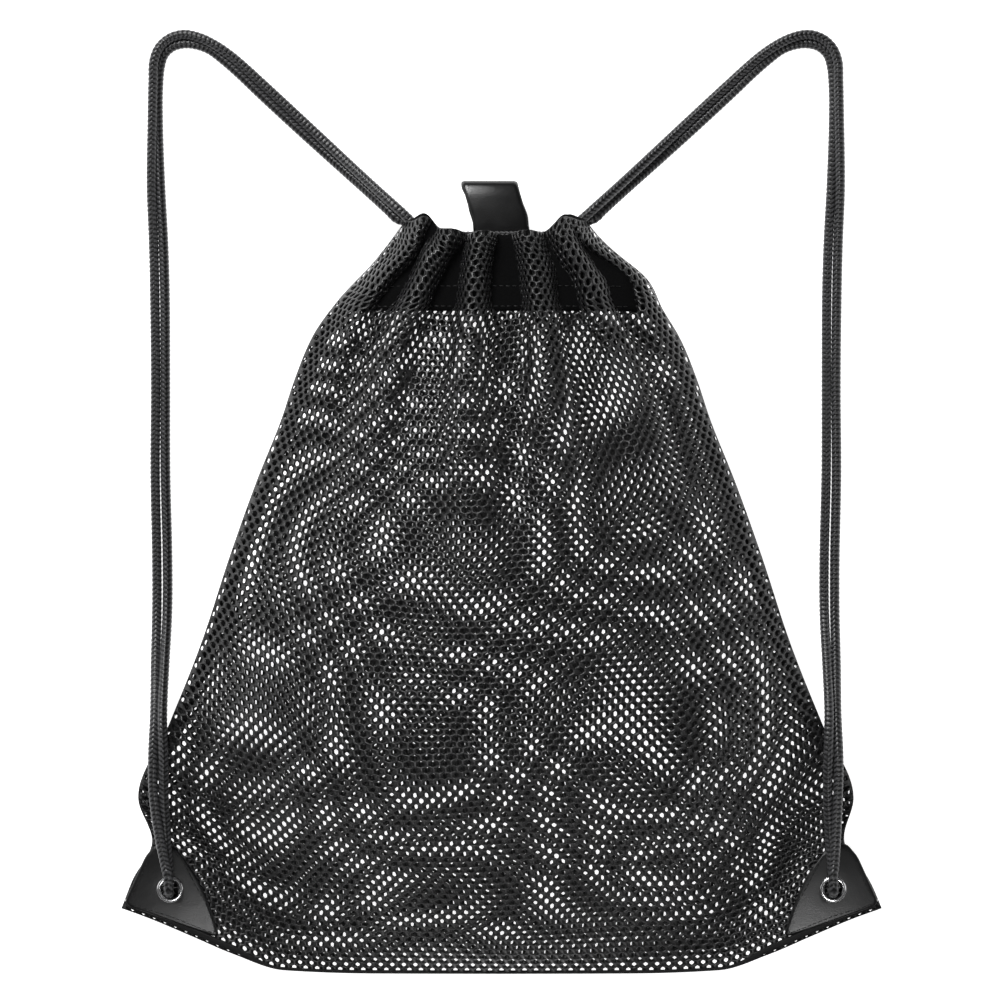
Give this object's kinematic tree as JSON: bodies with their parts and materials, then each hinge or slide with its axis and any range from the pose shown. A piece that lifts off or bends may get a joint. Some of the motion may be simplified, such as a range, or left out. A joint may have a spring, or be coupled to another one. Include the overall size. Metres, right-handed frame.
{
  "type": "mesh drawstring ball bag",
  "caption": "Mesh drawstring sack worn as a backpack, with a gathered mouth, cord shoulder straps, corner eyelets and a hang loop.",
  "frame": {"origin": "centre of the bag's footprint, on the surface that it lies on", "axes": "+Y towards the mouth, +Z out of the front panel, +X to the right when the front faces the viewer"},
  "size_m": [0.396, 0.4924, 0.079],
  "materials": {
    "mesh": "knitted polyester mesh with round holes, slight sheen",
    "tape": "matte woven binding tape",
    "thread": "polyester sewing thread",
    "patch": "smooth semi-gloss polyurethane leather",
    "eyelet": "bright nickel plate",
    "cord": "braided polyester cord with a slight sheen"
  },
  "bodies": {
    "bag": {"front_panel_lower": "mesh", "front_panel_middle": "mesh", "front_panel_upper": "mesh", "back_panel_lower": "mesh", "back_panel_upper": "mesh", "left_side_tape": "tape", "right_side_tape": "tape", "bottom_seam_tape": "tape", "front_channel_tape": "tape", "back_channel_tape": "tape", "channel_stitches": "thread", "side_stitches": "thread", "left_corner_front": "patch", "left_corner_back": "patch", "right_corner_front": "patch", "right_corner_back": "patch", "left_corner_stitches": "thread", "right_corner_stitches": "thread", "left_eyelet": "eyelet", "left_eyelet_washer": "eyelet", "right_eyelet": "eyelet", "right_eyelet_washer": "eyelet", "left_channel_cord": "cord", "right_channel_cord": "cord", "left_knot": "cord", "right_knot": "cord", "hang_loop_base": "patch", "hang_loop_stitches": "thread"},
    "left_strap": {"left_strap_upper": "cord", "left_strap_lower": "cord"},
    "right_strap": {"right_strap_upper": "cord", "right_strap_lower": "cord"},
    "hang_loop": {"hang_loop": "patch"}
  },
  "joints": [
    {"name": "left_strap_swing", "type": "hinge", "parent": "bag", "child": "left_strap", "pos_m": [-0.049, 0.186, 0.02], "axis": [0.3344, 0.9424, -0.0054], "range_deg": [0, 95]},
    {"name": "right_strap_swing", "type": "hinge", "parent": "bag", "child": "right_strap", "pos_m": [0.043, 0.186, 0.02], "axis": [0.3488, -0.9372, 0.0054], "range_deg": [0, 95]},
    {"name": "hang_loop_fold", "type": "hinge", "parent": "bag", "child": "hang_loop", "pos_m": [-0.003, 0.186, 0.0142], "axis": [1, 0, 0], "range_deg": [-25, 85]}
  ]
}
